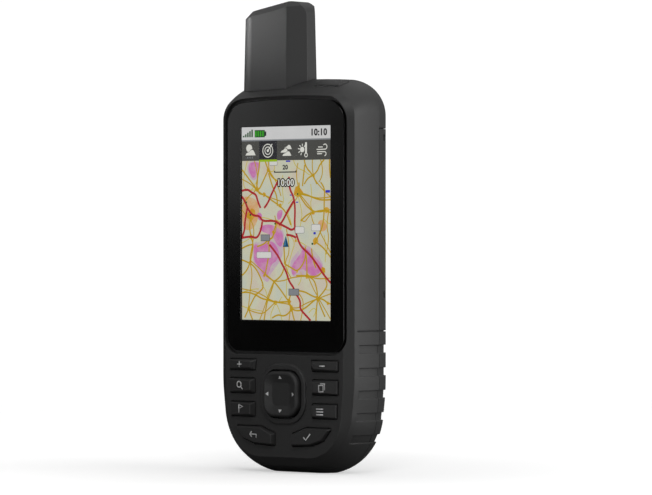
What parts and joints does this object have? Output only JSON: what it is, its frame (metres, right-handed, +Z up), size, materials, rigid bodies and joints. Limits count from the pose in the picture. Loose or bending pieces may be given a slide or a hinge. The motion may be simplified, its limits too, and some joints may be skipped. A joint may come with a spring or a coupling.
{
  "type": "handheld gps unit",
  "caption": "Upright handheld satellite navigator with a tall colour display, a rocker keypad below it, a stubby antenna cap and a rear cell door with a turn latch.",
  "frame": {"origin": "middle of the foot that the unit stands on, under the middle of its depth and width", "axes": "+X to the user's right, +Y away from the user through the body, +Z up towards the antenna"},
  "size_m": [0.062, 0.035, 0.163],
  "materials": {
    "body_plastic": "fine matte texture",
    "key_rubber": "satin, printed symbols",
    "soft_rubber": "matte",
    "lens_glass": "polished, black printed border",
    "display_panel": "lit colour display",
    "adhesive": "black foam tape",
    "white_plastic": "moulded",
    "hard_plastic": "moulded",
    "film": "thin film",
    "circuit_board": "solder resist",
    "chip_resin": "moulded resin",
    "tinned_steel": "tinned sheet",
    "spring_steel": "nickel plated wire",
    "screw_steel": "machined",
    "ring_metal": "satin",
    "cell_jacket": "printed jacket",
    "clear_plastic": "clear moulding",
    "led_resin": "phosphor",
    "ceramic": "fired",
    "copper": "plated"
  },
  "bodies": {
    "housing": {"front_housing": "body_plastic", "rear_housing": "body_plastic", "antenna_cap": "body_plastic", "keypad_mat": "soft_rubber", "housing_gasket": "soft_rubber", "door_gasket": "soft_rubber", "display_lens": "lens_glass", "lcd_panel": "display_panel", "lens_adhesive": "adhesive", "lcd_backlight": "white_plastic", "power_switch": "hard_plastic", "sounder": "hard_plastic", "dome_sheet": "film", "vent_membrane": "film", "main_board": "circuit_board", "board_chips": "chip_resin", "memory_card": "chip_resin", "shield_cans": "tinned_steel", "card_holder": "tinned_steel", "usb_socket": "tinned_steel", "contact_plates": "tinned_steel", "contact_springs": "spring_steel", "housing_screws": "screw_steel", "cell_left": "cell_jacket", "cell_right": "cell_jacket", "torch_lens": "clear_plastic", "torch_led": "led_resin", "antenna_core": "ceramic", "antenna_helix": "copper", "antenna_feed": "copper"},
    "power_key": {"power_key": "key_rubber"},
    "rocker_post": {"rocker_post": "hard_plastic"},
    "rocker_cap": {"rocker_cap": "key_rubber"},
    "battery_door": {"battery_door": "body_plastic", "mounting_spine": "hard_plastic", "spine_screws": "screw_steel", "latch_seal": "soft_rubber"},
    "latch": {"latch_shaft": "hard_plastic", "latch_cam": "screw_steel", "d_ring_pin": "screw_steel"},
    "d_ring": {"d_ring": "ring_metal"},
    "usb_cap": {"usb_cap": "soft_rubber"},
    "zoom_in_key": {"zoom_in_key": "key_rubber"},
    "zoom_out_key": {"zoom_out_key": "key_rubber"},
    "find_key": {"find_key": "key_rubber"},
    "page_key": {"page_key": "key_rubber"},
    "mark_key": {"mark_key": "key_rubber"},
    "menu_key": {"menu_key": "key_rubber"},
    "quit_key": {"quit_key": "key_rubber"},
    "enter_key": {"enter_key": "key_rubber"}
  },
  "joints": [
    {"name": "zoom_in_press", "type": "slide", "parent": "housing", "child": "zoom_in_key", "axis": [0, 1, 0], "range_m": [0, 0.0007], "stiffness_N_per_m": 600, "springref_m": -0.0003},
    {"name": "zoom_out_press", "type": "slide", "parent": "housing", "child": "zoom_out_key", "axis": [0, 1, 0], "range_m": [0, 0.0007], "stiffness_N_per_m": 600, "springref_m": -0.0003},
    {"name": "find_press", "type": "slide", "parent": "housing", "child": "find_key", "axis": [0, 1, 0], "range_m": [0, 0.0007], "stiffness_N_per_m": 600, "springref_m": -0.0003},
    {"name": "page_press", "type": "slide", "parent": "housing", "child": "page_key", "axis": [0, 1, 0], "range_m": [0, 0.0007], "stiffness_N_per_m": 600, "springref_m": -0.0003},
    {"name": "mark_press", "type": "slide", "parent": "housing", "child": "mark_key", "axis": [0, 1, 0], "range_m": [0, 0.0007], "stiffness_N_per_m": 600, "springref_m": -0.0003},
    {"name": "menu_press", "type": "slide", "parent": "housing", "child": "menu_key", "axis": [0, 1, 0], "range_m": [0, 0.0007], "stiffness_N_per_m": 600, "springref_m": -0.0003},
    {"name": "quit_press", "type": "slide", "parent": "housing", "child": "quit_key", "axis": [0, 1, 0], "range_m": [0, 0.0007], "stiffness_N_per_m": 600, "springref_m": -0.0003},
    {"name": "enter_press", "type": "slide", "parent": "housing", "child": "enter_key", "axis": [0, 1, 0], "range_m": [0, 0.0007], "stiffness_N_per_m": 600, "springref_m": -0.0003},
    {"name": "power_press", "type": "slide", "parent": "housing", "child": "power_key", "axis": [0, 0, -1], "range_m": [0, 0.0006], "stiffness_N_per_m": 600, "springref_m": -0.0003},
    {"name": "rocker_up_down", "type": "hinge", "parent": "housing", "child": "rocker_post", "pos_m": [0, -0.0126, 0.0272], "axis": [1, 0, 0], "range_deg": [-2, 2], "stiffness_Nm_per_rad": 0.03},
    {"name": "rocker_left_right", "type": "hinge", "parent": "rocker_post", "child": "rocker_cap", "pos_m": [0, -0.0126, 0.0272], "axis": [0, 0, 1], "range_deg": [-2, 2], "stiffness_Nm_per_rad": 0.03},
    {"name": "door_lift_off", "type": "slide", "parent": "housing", "child": "battery_door", "axis": [0, 1, 0], "range_m": [0, 0.045]},
    {"name": "latch_turn", "type": "hinge", "parent": "battery_door", "child": "latch", "pos_m": [0, 0.0118, 0.024], "axis": [0, 1, 0], "range_deg": [0, 90]},
    {"name": "d_ring_fold", "type": "hinge", "parent": "latch", "child": "d_ring", "pos_m": [0, 0.015, 0.0275], "axis": [1, 0, 0], "range_deg": [0, 110]},
    {"name": "usb_cap_open", "type": "hinge", "parent": "housing", "child": "usb_cap", "pos_m": [-0.0191, 0.0109, 0.1233], "axis": [0, 0, 1], "range_deg": [0, 100]}
  ]
}
